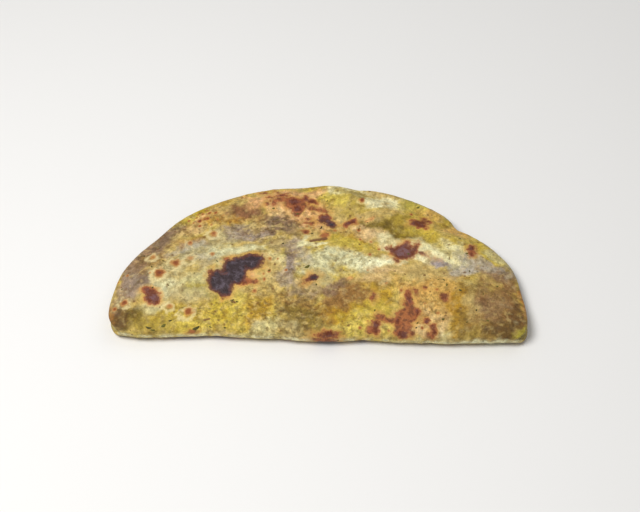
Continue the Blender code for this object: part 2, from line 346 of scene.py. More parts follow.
# Tone patches, the later ones on top: x, v, half length, half width, turn in degrees, colour, strength
PATCHES = (
    # left of the middle
    (-66, 28, 22, 20, 0, SAND, 0.6), (-50, 30, 8, 12, 10, LIME, 0.7), (-62, 27, 8, 5, 25, SAGE, 0.5),
    (-66, 22, 3, 5, 20, SAGE, 0.6), (-56, 36, 9, 4, 30, SAND, 0.6), (-76, 40, 7, 5, 40, GOLD, 0.6),
    (-66, 36, 10, 4.5, 30, LICHEN, 0.6), (-77, 28, 6, 5.4, 0, TAUPE, 0.95),
    (-76, 29, 4, 4, 0, SMOKE, 0.35), (-68, 27, 8, 4, 35, SAGE, 0.7), (-76, 36.5, 6, 4.4, 40, MOSS, 0.8),
    # the lichen at (-54, 45) and the grey at (-52, 42) are partly painted sheen along a valley
    (-54, 45, 11, 4.4, 22, LICHEN, 0.95), (-52, 42, 5, 3, 10, PAINTED_SHEEN_GREY, 0.4), (-51, 33, 6, 5, 0, SAGE, 0.5),
    (-71, 8, 9, 7, 0, MUSTARD, 0.6), (-72, 13.5, 6, 3, 0, SAGE, 0.5),
    (-72, 5.5, 6, 4.5, 0, MUSTARD, 0.7), (-58, 8, 10, 7, 0, YELLOW, 0.8),
    (-56, 20, 9, 5, 15, LICHEN, 0.6), (-52, 4, 8, 4, 0, CORN, 0.8), (-40, 11, 9, 9, 0, YELLOW, 0.95),
    (-29, 4, 5, 5, 0, LEMON, 0.7), (-35, 17, 5, 8, 10, LEMON, 0.8), (-27, 14, 6, 10, 0, GOLD, 0.7),
    (-27, 24, 8, 5, 0, SAND, 0.5), (-21, 37, 5, 11, 5, SAND, 0.8), (-30.5, 32.4, 3, 3, 0, PEACH, 0.9),
    (-44, 47, 7, 3.4, 25, SAGE, 0.8), (-46, 39, 3, 3.6, 30, SAGE, 0.7),
    (-60, 13, 6, 5, 0, MUSTARD, 0.35), (-20, 44, 5, 5, 10, CREAM, 0.45), (-33, 48.5, 9, 3, 5, SAGE, 0.9),
    # the lichen at (-44, 53) is partly painted sheen along the same valley
    (-38, 46.5, 7, 2, 12, CREAM, 0.6), (-44, 53, 12, 3.2, 14, LICHEN, 0.8),
    (-54, 53, 6, 3.2, 25, MOSS, 0.4),
    # the middle
    (-8, 11, 10, 11, 0, OLIVE, 0.9), (-10, 20, 9, 8, 0, MOSS, 0.6), (-6, 27, 8, 6, 0, TAUPE, 0.5),
    (-8, 9, 6, 4, 0, FERN, 0.5), (-23, 3.4, 7, 3.6, 0, SAGE, 0.5), (-11, 3, 7, 4, 0, LICHEN, 0.35),
    (2, 8, 5, 5, 0, FERN, 0.6), (4, 13, 4, 4, 0, FERN, 0.35), (-4, 4.5, 5, 3.4, 0, FERN, 0.6),
    (11, 5.5, 9, 5, 0, LEMON, 0.8), (20, 4, 7, 4, 0, LEMON, 0.8), (12, 15, 11, 6, 0, GOLD, 0.95),
    (25, 16, 8, 9, 0, YELLOW, 0.8), (25, 25, 8, 5, 0, GOLD, 0.6), (12, 23, 10, 6.4, 0, TAN, 1),
    (27, 28, 7, 2.6, 0, OLIVE, 0.5), (4, 16, 4, 7, 0, TAN, 0.4), (-3, 13, 4, 3, 0, TAN, 0.5),
    (13, 12, 7, 4, 0, YELLOW, 0.6), (20, 11, 5, 4.5, 0, CORN, 0.6), (27, 33, 10, 5, 0, BEIGE, 0.7),
    (11, 42, 20, 6.5, 0, SAGE, 0.95), (25, 42.4, 9, 4.6, 10, MILK, 0.95), (33, 43, 4, 3, 0, MILK, 0.7),
    (4, 28, 6, 5, 0, UMBER, 0.95), (0, 35, 6, 3, 0, LICHEN, 0.6), (11.8, 31.6, 2.2, 1.8, 0, AMBER, 0.9),
    (31, 37, 9, 3, -6, BEIGE, 0.9), (42, 37, 8, 4, -10, SAND, 0.9), (15, 53, 16, 4.5, -4, YELLOW, 0.85),
    (18, 58, 10, 3.5, -5, GOLD, 0.7), (13, 51, 8, 3, 0, LEMON, 0.6), (29, 58.5, 10, 2.6, -25, SAND, 0.8),
    # the cream and milk here are partly painted light on the ridge's slope that faces the lamp
    (47, 51, 10, 3.4, -28, CREAM, 0.9), (45, 45, 8, 3, -12, MILK, 0.8),
    (35, 52.5, 8, 2.6, -24, MILK, 0.6),
    # right of the middle
    # the cream here is partly painted reflection on the right end's back slope
    (56, 46.5, 9, 4, -15, CREAM, 0.85), (60, 50, 9, 3.4, -26, CREAM, 0.8),
    (60, 44.5, 7, 2.6, -12, CREAM, 0.7), (51, 54, 7, 2.6, -30, YELLOW, 0.5),
    (48, 11, 7, 10, 0, BEIGE, 0.9), (52, 20, 5, 7, 0, HONEY, 0.8), (43, 3.5, 7, 4, 0, BEIGE, 0.9),
    (29, 5, 3, 4, 0, BEIGE, 0.6), (44, 10, 5, 6, 0, HONEY, 0.5), (31, 6, 4, 4, 0, LEMON, 0.7),
    (57, 4.5, 8, 3, 0, SAGE, 0.5), (44, 27, 11, 5, 0, HONEY, 0.9), (45, 12, 3.4, 4, 0, TAN, 0.5),
    (44, 20, 5, 4, 0, HONEY, 0.6), (61, 19, 7, 15, 0, GOLD, 0.95), (54, 30, 10, 5, -10, HONEY, 0.8),
    (57, 36.5, 8, 2, -5, UMBER, 0.4), (78, 18, 9.5, 21, 0, MOSS, 0.95), (64, 11, 6, 7, 0, OLIVE, 0.7),
    (68, 29, 6, 4, 0, OLIVE, 0.7), (68, 19, 3.4, 7, 0, SAND, 0.7), (71.5, 23, 2.6, 11, 5, BROWN, 0.45),
    (82.5, 22, 4, 16, 0, BROWN, 0.5), (89.5, 20, 2.4, 18, 0, RUST, 0.95), (77, 7, 8, 5, 0, OLIVE, 0.8),
    (79, 7, 6, 6, 0, COFFEE, 0.8), (84, 14, 4, 11, 0, COFFEE, 0.75), (75, 19, 4, 9, 0, UMBER, 0.5),
    (66, 6, 6, 4, 0, OLIVE, 0.7), (68, 12, 4, 5, 0, MOSS, 0.5), (78, 37, 9, 5, -15, UMBER, 0.85),
    # the grey at (70, 43.5) is painted sheen on the slope
    (70, 43.5, 12, 4, -20, PAINTED_SHEEN_GREY, 0.8), (79, 47, 6, 4, -45, SAGE, 0.5), (86, 4, 3.5, 3.5, 0, LIME, 0.9),
    (70.6, 47, 1.2, 6, 0, MOSS, 0.7),
    # the greyish band from the middle to the left, partly a greyer crust and partly painted sheen
    (-11, 50, 5, 6, 20, TAUPE, 0.8), (-12.5, 42, 4.2, 9, -8, TAUPE, 1), (-15, 33, 4, 5, 15, TAUPE, 0.7),
    (-32, 58.6, 13, 4.6, 5, TAUPE, 0.95), (-38, 60, 6, 2.6, 10, SMOKE, 0.6),
    (-5, 46, 4, 4, 0, TAUPE, 0.5), (-4, 43, 4, 4, 0, TAUPE, 0.35), (-30, 62, 5, 2.5, 0, SAND, 0.6),
    (-14, 60, 8, 5, 0, UMBER, 0.7), (-21, 62, 9, 5.6, 10, UMBER, 0.95),
    (-20, 59.5, 6, 2.6, 0, SMOKE, 0.6), (-20, 52, 5, 4, 0, TAUPE, 0.5), (-22, 64, 5, 3, 10, SMOKE, 0.7),
    # painted sheen along the valley from (-65, 40) to (-35, 57)
    (-61, 45.5, 13, 2.4, 25, PAINTED_SHEEN_GREY, 0.6),
    # the left rim
    (-83, 32, 7, 18, -12, UMBER, 0.95), (-84, 24, 5, 8, 0, TAUPE, 0.6),
    (-81, 24, 3.4, 1.6, 45, SMOKE, 0.8), (-74, 50, 12, 8, 50, UMBER, 1), (-67, 54, 9, 5, 42, SMOKE, 0.8),
    (-83, 6, 7.5, 8, 0, FERN, 0.95), (-84, 4, 5, 6, 0, COFFEE, 0.9), (-87, 10, 3, 4, 0, UMBER, 0.6),
    (-89.5, 5, 3, 7, 0, RUST, 0.8), (-80.5, 25.5, 2.6, 0.7, 50, SMOKE, 0.9),
    (-86, 20, 2.4, 1.2, 20, SMOKE, 0.6),
    # along the back
    (-60, 55, 8, 4, 30, SAND, 0.7), (-58, 49, 7, 2.6, 20, RUST, 0.5), (-55, 62, 10, 5, 35, BEIGE, 0.75),
    (-53, 66, 6, 3, 30, PEACH, 0.6), (-60, 60, 6, 4, 40, TAN, 0.5), (-45, 66, 10, 5, 25, GOLD, 0.8),
    (-42, 68, 9, 4.4, 20, RUST, 0.6), (-46, 69, 5, 4, 20, SAND, 0.6),
    (-35.5, 71.6, 9, 4.4, 8, BROWN, 0.95), (-48, 73, 8, 2.5, 28, GOLD, 0.6),
    (-30, 67, 5, 3, 0, BROWN, 0.6), (-27, 76, 7, 2.4, 15, GOLD, 0.5), (-7, 66, 11, 7, -20, PEACH, 1),
    (-17, 71.5, 8, 5, 0, PEACH, 1), (-15, 81, 14, 4, 5, PEACH, 0.9), (-27, 78, 9, 4, 12, PEACH, 0.9),
    (0, 72, 6, 4, -25, PEACH, 0.6), (-20, 69, 6, 3, 0, BEIGE, 0.7), (-14, 67, 5, 3, 0, BEIGE, 0.6),
    (-6, 57, 6, 4, 0, SAND, 0.7), (-2, 51.6, 6, 1.7, 10, CREAM, 0.9),
    (-6.2, 54.2, 1.5, 2.4, 0, CREAM, 0.8), (8, 72, 9, 6, -20, MUSTARD, 0.7),
    (5, 77, 9, 3.6, -12, LEMON, 0.9), (19, 76, 6, 2.4, -12, MUSTARD, 0.7), (8, 66.5, 5, 5, 0, SAND, 0.5),
    # the fern along the valley behind the ridge is partly the crust's colour and partly painted shade
    (26, 66, 10, 3, -14, FERN, 0.9), (35, 62.5, 7, 3, -25, FERN, 0.9), (39, 60, 5, 3.4, -30, FERN, 0.9),
    (46, 57.5, 6, 2.6, -30, MUSTARD, 0.8), (46, 60.5, 9, 4, -15, YELLOW, 0.7),
    (22, 60, 10, 3.4, -12, BEIGE, 0.95), (33, 56, 7, 2.6, -22, CREAM, 0.7),
    (28, 69.5, 8, 2.4, -5, SAND, 0.8), (24.4, 69.6, 2.6, 1.3, 0, AMBER, 0.9),
    # the cream at (8, 83) is partly a paler crust and partly painted light on the back slope
    (8, 83, 10, 3.4, -5, CREAM, 0.8), (16, 80.5, 12, 2.4, -16, MUSTARD, 0.8),
    # the milk at (28, 77) is partly a paler crust and partly a painted highlight along a ridge
    (28, 77, 10, 3, -16, MILK, 0.7), (29, 72.5, 11, 3, -5, SAND, 0.7),
    (44, 75.5, 11, 4.4, -16, LIME, 0.8), (40, 72.5, 9, 2, -16, LEMON, 0.6),
    (52, 71, 8, 3, -25, LEMON, 0.7), (51, 68, 6, 4, -20, HONEY, 0.8),
    (38, 67.5, 8, 3.4, -10, MUSTARD, 0.9), (56, 65, 5, 5, -30, MUSTARD, 0.8),
    # the beige along the back edge is partly a paler crust and partly painted light on the back slope
    (60, 60, 6, 3, -40, HONEY, 0.8), (-4, 86.5, 24, 2.8, 0, BEIGE, 0.9),
    # along the front: a paler band, partly the crust's colour and partly painted light on the front of the
    # fold
    (-44, -1.6, 36, 1.6, 0, LEMON, 0.7), (18, -1.6, 18, 1.3, 0, LEMON, 0.6),
    (66, -1.2, 22, 1.9, 0, SAGE, 0.8),
    # painted sheen: the lamps' reflection on the slopes, put into the colour
    (51.6, 42.6, 6.4, 2.2, 4, PAINTED_SHEEN, 1), (63, 39, 6, 3, -10, PAINTED_SHEEN_GREY, 0.9),
)
# Places whose crust is more mottled: x, v, half length, half width, turn in degrees, how much more
MOTTLED = (
    (-16, 16, 15, 17, 0, 0.7), (-20, 60, 20, 9, 10, 0.6), (47, 12, 9, 14, 0, 0.6),
    (40, 27, 15, 6, 0, 0.5), (-56, 62, 12, 7, 35, 0.5), (-42, 9, 20, 9, 0, 0.45),
    (0, 65, 12, 8, -20, 0.5), (22, 5, 20, 6, 0, 0.4), (-14, 42, 6, 10, 0, 0.3), (10, 42, 12, 6, 0, 0.2),
    (-12, 75, 16, 7, 0, 0.4), (-78, 42, 10, 20, 40, 0.3),
)
# The underside's charred, scorched and browned spots: how many, and their half lengths
UNDERSIDE = ((5, (2.5, 6.0)), (16, (1.2, 3.6)), (26, (1.0, 5.0)))
UNDERSIDE_SEED = 4
UNDERSIDE_FROM = 14  # how far behind the front of the fold they start
# The underside's tone patches: how many, their half lengths, their strength, their colours
UNDERSIDE_PATCHES, UNDERSIDE_PATCH_SIZES, UNDERSIDE_STRENGTH = 26, (5.0, 16.0), 0.75
UNDERSIDE_COLOURS = (MUSTARD, LICHEN, TAUPE, MOSS, SAGE, SAND, GOLD, UMBER)
LEAST_MOTTLED = 0.6
CLOUD, CLOUD_CELLS = (4.0, 2.0, 0.8), (18, 7, 2.6)  # how far the patches' edges wander, from broad to fine
EDGE_NOISE = 0.75  # how much the patches' edges break up
PATCH_REACH, MOTTLED_REACH = 1.35, 1.3  # how far out of its oval a patch goes, as a share of the oval
PATCH_FADE = 0.8  # over how much of the oval it fades
PAINTED_LIGHT_LINE_V, PAINTED_LIGHT_LINE = -0.9, 1.3  # place and half width of the pale line along the front of the fold, painted light that stands in for light thrown up onto it
TOASTED = (0.77, 0.65, 0.48)  # what the more toasted clouds multiply the tone by
MELT = 0.45  # spots this near to each other run together
FAR_OUTSIDE = -20.0  # what counts as far outside a mark


def skin_back(v):
    """The y of a place on the outer skin: the other way round than skin_way."""
    bend = SKIN_STRETCH * HALF_BEND
    return np.sign(v) * (np.abs(v) - (1 - 1 / SKIN_STRETCH) * np.minimum(np.abs(v), bend))


def on_crust(seen_x, seen_v):
    """Where a mark is on the skin, from where it looks to be from in front and above."""
    if seen_v < 0:
        return seen_x, seen_v
    v = np.linspace(0, 100, 201)
    x, y = np.full(v.shape, float(seen_x)), skin_back(v)
    place = folded(x, y) + outward(x, y) * half_thickness(x, y)[:, None]
    looks = place[:, 1] + (place[:, 2] - LEVEL) / math.tan(math.radians(SEEN_FROM)) + FOLD_LOOKS
    looks = np.maximum.accumulate(looks)
    height = np.interp(seen_v, looks, place[:, 2])
    return seen_x * (1 - (height - LEVEL) / EYE_HEIGHT), float(np.interp(seen_v, looks, v))


def placed(marks):
    """The marks with their seen places turned into places on the skin."""
    return [(*on_crust(*mark[:2]), *mark[2:]) for mark in marks]


def placed_lines(marks):
    return [(*on_crust(*mark[:2]), *on_crust(*mark[2:4]), *mark[4:]) for mark in marks]


def oval(x, v, middle_x, middle_v, length, width, degrees):
    """How far out from an oval's middle each place is, with 1 on the oval."""
    x, v = x - middle_x, v - middle_v
    c, s = math.cos(math.radians(degrees)), math.sin(math.radians(degrees))
    return np.hypot((x * c + v * s) / length, (v * c - x * s) / width)


def blend(first, second, share):
    share = np.asarray(share)[..., None]
    return first * (1 - share) + second * share


def wandering(x, v, amounts, cells, seed):
    """Places moved about by noise, to make drawn edges uneven."""
    moved_x, moved_v = x, v
    for step, (amount, cell) in enumerate(zip(amounts, cells)):
        moved_x = moved_x + amount * noise(x, v, cell, seed + 2 * step)
        moved_v = moved_v + amount * noise(x, v, cell, seed + 2 * step + 1)
    return moved_x, moved_v


def spot_distance(x, v, spots):
    """How far inside the nearest spot each place is, in about millimetres; negative outside."""
    total = np.full(np.shape(x), 3 * FAR_OUTSIDE)
    for spot in spots:
        inside = (1 - oval(x, v, *spot)) * min(spot[2:4])
        total = np.logaddexp(total, np.maximum(inside, FAR_OUTSIDE) / MELT)
    return np.maximum(total * MELT, FAR_OUTSIDE)


def crust_tone(x, v):
    """The crust's colour before its spots, as an array of linear colours."""
    wide = rough_noise(x, v, 26, 11)
    tone = blend(YELLOW, SAND, smooth(0.5 + 0.8 * wide))
    tone = blend(tone, TAUPE, 0.5 * smooth(rough_noise(x, v, 15, 17) - 0.1))
    moved_x, moved_v = wandering(x, v, CLOUD, CLOUD_CELLS, 61)
    edges = [EDGE_NOISE * rough_noise(x, v, 5, 71 + kind, 4, 0.75) for kind in range(5)]
    patches = underside_patches() + placed(PATCHES)
    for number, (*shape, colour, strength) in enumerate(patches):
        inside = (PATCH_REACH - oval(moved_x, moved_v, *shape)) / PATCH_FADE
        tone = blend(tone, colour, strength * smooth(inside + edges[number % len(edges)]))
    toasted = smooth(1.3 * rough_noise(x, v, 7, 94, 4, 0.65) - 0.1)
    bleached = smooth(1.3 * rough_noise(x, v, 6, 95, 4, 0.65) - 0.15)
    tone = tone * (1 + (np.array(TOASTED) - 1) * toasted[..., None])
    tone = blend(tone, CREAM, 0.22 * bleached)
    # painted light: a pale line along the front of the fold
    line = bell((v - PAINTED_LIGHT_LINE_V + 0.6 * noise(x, v, 5, 96)) / PAINTED_LIGHT_LINE)
    tone = blend(tone, MILK, 0.85 * line * smooth(0.6 + 0.7 * noise(x, v / 4, 4, 97)))
    streaks = 0.14 * noise(x, v / 6, 1.8, 98) * bell((v - 8) / 14)
    return tone * (1 + 0.1 * rough_noise(x, v, 2.2, 92, 2, 0.7) + streaks)[..., None]


def underside_marks(kind, count, sizes):
    """Spots spread over the lower flap's underside, past those that the front of the fold shows."""
    dice = np.random.default_rng(UNDERSIDE_SEED + kind)
    marks = []
    for _ in range(count):
        angle, out = dice.uniform(0.06, 0.94) * np.pi, math.sqrt(dice.uniform(0.03, 0.9))
        x, v = DISC_RADIUS * out * math.cos(angle), -DISC_RADIUS * out * math.sin(angle)
        length = dice.uniform(*sizes)
        width, turn = length * dice.uniform(0.45, 0.9), dice.uniform(0, 180)
        marks.append((x, v - UNDERSIDE_FROM, length, width, turn))
    return marks


def underside_patches():
    """Tone patches spread over the underside."""
    spots = underside_marks(len(UNDERSIDE), UNDERSIDE_PATCHES, UNDERSIDE_PATCH_SIZES)
    colours = [UNDERSIDE_COLOURS[number % len(UNDERSIDE_COLOURS)] for number in range(len(spots))]
    return [(*spot, colour, UNDERSIDE_STRENGTH) for spot, colour in zip(spots, colours)]


def mottling(x, v):
    """How strongly the crust is mottled at each place."""
    moved_x, moved_v = wandering(x, v, CLOUD, CLOUD_CELLS, 66)
    strength = LEAST_MOTTLED + 0.12 * rough_noise(x, v, 9, 67)
    for *shape, more in placed(MOTTLED):
        strength = strength + more * smooth((MOTTLED_REACH - oval(moved_x, moved_v, *shape)) / PATCH_FADE)
    return np.clip(strength, 0, 1)


def blister_fields(x, v):
    """(how brown, how much of a pale ring, how raised) the blisters make each place."""
    brown, ring, raised = np.zeros((3,) + np.shape(x))
    wobble = 1 + 0.4 * noise(x, v, 1.7, 21)
    for middle_x, middle_v, radius, middle_brown in placed(BLISTERS):
        away = np.hypot(x - middle_x, (v - middle_v) / 1.15) / radius * wobble
        brown = np.maximum(brown, (0.3 + 0.75 * middle_brown) * bell(away / 0.95))
        beside = np.hypot(x - middle_x + 0.3 * radius, v - middle_v + 0.4 * radius) / radius * wobble
        pale = float(smooth((radius - LEAST_RINGED) / 0.8))
        ring = np.maximum(ring, pale * bell((beside - 1.3) / 0.6))
        raised = np.maximum(raised, 0.16 * min(radius, 2) * bell(away / 1.5) ** 0.7)
    return brown, ring, raised


# --- Relief ---

LUMPS = ((0.24, 11, 31), (0.13, 3.6, 32))  # height, how far apart, seed
# Small folds of the skin: x and v of both ends, half width, rise
CREASES = (
    (18, 67, 32, 63, 4.0, -0.8), (32, 63, 56, 54, 4.0, -1.4), (26, 60, 56, 46.5, 2.6, 0.5),
    (-80, 35, -60, 46, 3.0, -0.4), (-60, 46, -48, 53, 3.0, -0.4), (-48, 53, -28, 57, 3.5, -0.35),
    (4, 82, 20, 76, 1.2, -0.6), (5, 85, 22, 77, 1.3, 0.5), (22, 77, 40, 72, 1.6, 0.35),
    (19, 72.3, 32, 71, 1.1, -0.45), (70, 43, 70.6, 53, 0.8, -0.4), (66, 53, 71, 42, 2.0, 0.25),
    (-36, 17, -38, 18.5, 0.5, -0.3), (-70, 4.2, -63, 5.6, 0.5, -0.3), (-54, 2.6, -46, 3.6, 0.5, -0.3),
    (56, 1, 86, 2.5, 1.2, 0.2),
)


def relief(x, v, fields):
    """How far the outer skin stands proud of the smooth sheet."""
    lumps = sum(height * rough_noise(x, v, cell, seed) for height, cell, seed in LUMPS)
    grain = 0.05 * noise(x, v, 1.3, 33)
    wrinkles = 0.22 * noise(x, v / 5, 3.2, 34) * bell((v - 4) / 9)
    scorched = smooth(np.maximum(fields["charred"], fields["scorched"] - 0.4) + 0.6)
    crackle = scorched * (0.12 * noise(x, v, 1.1, 35) - 0.12)
    sunk = -0.4 * smooth(fields["slit"] / 0.5 + 0.6)
    total = lumps + grain + wrinkles + crackle + sunk + fields["raised"]
    moved_x, moved_v = wandering(x, v, (0.8,), (7,), 36)
    for x0, v0, x1, v1, half_width, rise in placed_lines(CREASES):
        total = total + rise * bell(way_off(moved_x, moved_v, x0, v0, x1, v1) / half_width)
    return total


def crust_fields(x, v):
    moved_x, moved_v = wandering(x, v, (0.7, 0.4), (3.6, 1.5), 41)
    brown, ring, raised = blister_fields(x, v)
    under = [underside_marks(kind, *spread) for kind, spread in enumerate(UNDERSIDE)]
    slit = np.full(np.shape(x), FAR_OUTSIDE)
    slit_x, slit_v = wandering(x, v, (0.2,), (3.0,), 48)
    for x0, v0, x1, v1, half_width in placed_lines(SLITS):
        away = way_off(slit_x, slit_v, x0, v0, x1, v1)
        slit = np.maximum(slit, half_width + 0.25 * noise(x, v, 1.3, 50) - away)
    return {
        "slit": slit,
        "charred": spot_distance(moved_x, moved_v, placed(CHARRED) + under[0]),
        "scorched": spot_distance(moved_x, moved_v, placed(SCORCHED) + under[1]),
        "browned": spot_distance(moved_x, moved_v, placed(BROWNED) + under[2]),
        "blister": brown,
        "ring": ring,
        "raised": raised,
    }


# --- The mesh ---


def lines(cells, density):
    """Cell lines from -1 to 1, closer together where the density is higher."""
    place = np.linspace(-1, 1, 4001)
    amount = np.concatenate([[0], np.cumsum(density(place)[1:])])
    return np.interp(np.linspace(0, amount[-1], cells + 1), amount, place)


def row_density(place):
    y = place * DISC_RADIUS
    lower = smooth((-y - LOWER_FROM) / LOWER_FROM)
    return 1 - (1 - LOWER_DENSITY) * lower + BEND_DENSITY * bell(y / BEND_REACH)


def flat_disc(a, b):
    """The flat disc's points for cell lines a and b, crowded towards the rim."""
    a, b = np.meshgrid(a, b)
    x, y = a * np.sqrt(1 - b * b / 2), b * np.sqrt(1 - a * a / 2)
    share, radius = np.hypot(x, y), rim_radius(np.arctan2(y, x))
    inside = radius * (1 - share)
    crowded = np.hypot(inside, RIM_EDGE) - RIM_EDGE
    out = radius - inside + (inside - crowded) * share**2
    out = out / np.maximum(share, 1e-9)
    return x * out, y * out


def grid_faces(rows, columns, first=0):
    index = first + np.arange(rows * columns).reshape(rows, columns)
    corners = index[:-1, :-1], index[:-1, 1:], index[1:, 1:], index[1:, :-1]
    return np.stack(corners, -1).reshape(-1, 4)


def rim_order(rows, columns, first=0):
    """A grid's rim, as its point numbers once round, anticlockwise."""
    index = first + np.arange(rows * columns).reshape(rows, columns)
    return np.concatenate([index[0, :-1], index[:-1, -1], index[-1, :0:-1], index[:0:-1, 0]])


def joining_faces(fine, coarse):
    """Triangles between a rim and another with half as many points, seen from outside."""
    faces = []
    count = len(coarse)
    for i in range(count):
        start, half, end = fine[2 * i], fine[2 * i + 1], fine[(2 * i + 2) % (2 * count)]
        near, far = coarse[i], coarse[(i + 1) % count]
        faces += [(half, start, near), (far, half, near), (end, half, far)]
    return faces


def outer_skin(x, y):
    v = skin_way(y)
    fields = crust_fields(x, v)
    height = half_thickness(x, y)
    height = height + relief(x, v, fields) * smooth(to_rim(x, y) / RELIEF_FADE + 0.2)
    return folded(x, y) + outward(x, y) * height[..., None], fields


def inner_skin(x, y):
    lumps = INNER_RELIEF * rough_noise(x, y, 6, 51) * smooth(to_rim(x, y) / 3)
    return folded(x, y) - outward(x, y) * (half_thickness(x, y) + lumps)[..., None]


def way_to_frame(points):
    """The move that puts the bread where the frame has it."""
    low, high = (np.array(corner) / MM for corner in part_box("paratha"))
    move = (low + high) / 2 - (points.min(0) + points.max(0)) / 2
    move[2] = low[2] - points[:, 2].min()
    return move


def bread_mesh():
    a, b = lines(COLUMNS, np.ones_like), lines(ROWS, row_density)
    x, y = flat_disc(a, b)
    outer, fields = outer_skin(x, y)
    shrink = 1 - INNER_INSET / DISC_RADIUS
    inner_x, inner_y = (place * shrink for place in flat_disc(a[::2], b[::2]))
    inner = inner_skin(inner_x, inner_y)
    count = outer[..., 0].size
    points = np.concatenate([outer.reshape(-1, 3), inner.reshape(-1, 3)])
    outer_faces = grid_faces(*x.shape)
    inner_faces = grid_faces(*inner_x.shape, first=count)[:, ::-1]
    rim = joining_faces(rim_order(*x.shape), rim_order(*inner_x.shape, first=count))
    mesh = bpy.data.meshes.new("paratha_bread")
    move = way_to_frame(points)
    points = points + move
    mesh.from_pydata((points * MM).tolist(), [], outer_faces.tolist() + inner_faces.tolist() + rim)
    mesh.shade_smooth()
    add_fields(mesh, x, y, inner_x, inner_y, fields, points[:, 2])
    return mesh, move


def store(mesh, name, values, kind="FLOAT", what="value"):
    mesh.attributes.new(name, kind, "POINT").data.foreach_set(what, np.ravel(values))


def add_fields(mesh, x, y, inner_x, inner_y, fields, height):
    """Stores what the crust's material reads: the place on the skin, the tone and the browning."""
    all_y = np.concatenate([y.ravel(), inner_y.ravel()])
    all_x = np.concatenate([x.ravel(), inner_x.ravel()])
    all_v = np.concatenate([skin_way(y).ravel(), skin_way(inner_y).ravel() + INNER_PLACE])
    inside = np.concatenate([np.zeros(x.size), np.ones(inner_x.size)])
    level = np.where(all_y > 0, THICKNESS + 2 * BEND_RADIUS, 0)
    rise = (height - level) * smooth((np.abs(all_y) - HALF_BEND) / BEND_FADE)
    place = np.stack([all_x, all_v, rise], -1)  # the rise keeps the grain even where the skin is steep
    store(mesh, "skin", place, "FLOAT_VECTOR", "vector")
    tone = np.ones((all_x.size, 4))
    tone[:, :3] = crust_tone(all_x, all_v)
    store(mesh, "tone", tone, "FLOAT_COLOR", "color")
    store(mesh, "inside", inside)
    store(mesh, "mottling", mottling(all_x, all_v))
    for name in ("slit", "charred", "scorched", "browned", "blister", "ring"):
        empty = 0.0 if name in ("blister", "ring") else FAR_OUTSIDE
        store(mesh, name, np.concatenate([fields[name].ravel(), np.full(inner_x.size, empty)]))


# --- The herb flecks ---

FLECK_SIDES = 10
FLECK_RINGS = (1.0, 0.86, 0.5)  # the top's rings, as shares of the fleck's size
FLECK_RISE, FLECK_DEPTH = 0.16, 0.3  # above and below the crust
FLECK_EDGE = 0.1  # how far below the crust a fleck's edge is
FLECK_CURL = 0.25
LEAST_CLEAR = 0.02  # above the floor
# The flecks strewn over the crust: how many, their half lengths, how narrow they are
STREWN, STREWN_SIZES, STREWN_WIDTHS = 130, (0.3, 0.9), (0.3, 0.7)
STREWN_FROM_RIM = 3.0
STREWN_SEED = 12


def strewn_herbs():
    """Flecks at random over both flaps' crust, most of them small."""
    dice = np.random.default_rng(STREWN_SEED)
    flecks = []
    while len(flecks) < STREWN:
        x, y = dice.uniform(-DISC_RADIUS, DISC_RADIUS, 2)
        low, high = STREWN_SIZES
        length = low + (high - low) * dice.uniform() ** 2
        width, turn = length * dice.uniform(*STREWN_WIDTHS), dice.uniform(0, 180)
        if to_rim(x, y) > STREWN_FROM_RIM:
            flecks.append((x, float(skin_way(y)), length, width, turn))
    return flecks


def herb_mesh(move):
    """Thin pointed flecks lying on the crust, sunk in at their edges, all in one mesh."""
    flecks = np.array(placed(HERBS) + strewn_herbs())
    angle = np.arange(FLECK_SIDES) * 2 * np.pi / FLECK_SIDES
    along, across = np.cos(angle), np.sin(angle) * np.sqrt(np.abs(np.sin(angle)))
    shares = np.repeat(FLECK_RINGS, FLECK_SIDES)
    along, across = (
        np.append(np.tile(part, len(FLECK_RINGS)) * shares, (0, 0)) for part in (along, across)
    )
    lift = FLECK_RISE - (FLECK_RISE + FLECK_EDGE) * shares**4
    lift = np.append(lift, (FLECK_RISE, -FLECK_DEPTH))
    x, v, length, width, turn = (column[:, None] for column in flecks.T)
    c, s = np.cos(np.radians(turn)), np.sin(np.radians(turn))
    bent = across * width + FLECK_CURL * length * along**2
    x, v = x + length * along * c - bent * s, v + length * along * s + bent * c
    y = skin_back(v)
    base, _ = outer_skin(x, y)
    points = base + outward(x, y) * lift[:, None] + move
    points[..., 2] = np.maximum(points[..., 2], LEAST_CLEAR)
    count = along.size
    sides, rings = FLECK_SIDES, len(FLECK_RINGS)
    top, bottom = count - 2, count - 1
    faces = []
    for i in range(sides):
        j = (i + 1) % sides
        faces.append((bottom, j, i))
        for ring in range(rings - 1):
            a, b = ring * sides, (ring + 1) * sides
            faces += [(a + i, a + j, b + j), (a + i, b + j, b + i)]
        faces.append(((rings - 1) * sides + i, (rings - 1) * sides + j, top))
    faces = (np.array(faces)[None] + count * np.arange(len(flecks))[:, None, None]).reshape(-1, 3)
    mesh = bpy.data.meshes.new("herb_flecks")
    mesh.from_pydata((points.reshape(-1, 3) * MM).tolist(), [], faces.tolist())
    mesh.shade_smooth()
    shade = np.repeat(np.random.default_rng(STREWN_SEED + 1).uniform(size=len(flecks)), count)
    store(mesh, "shade", shade)
    return mesh


# --- Materials ---


def opaque(red, green, blue):
    return (*on_screen(red, green, blue), 1)


CHAR = opaque(56, 43, 45)
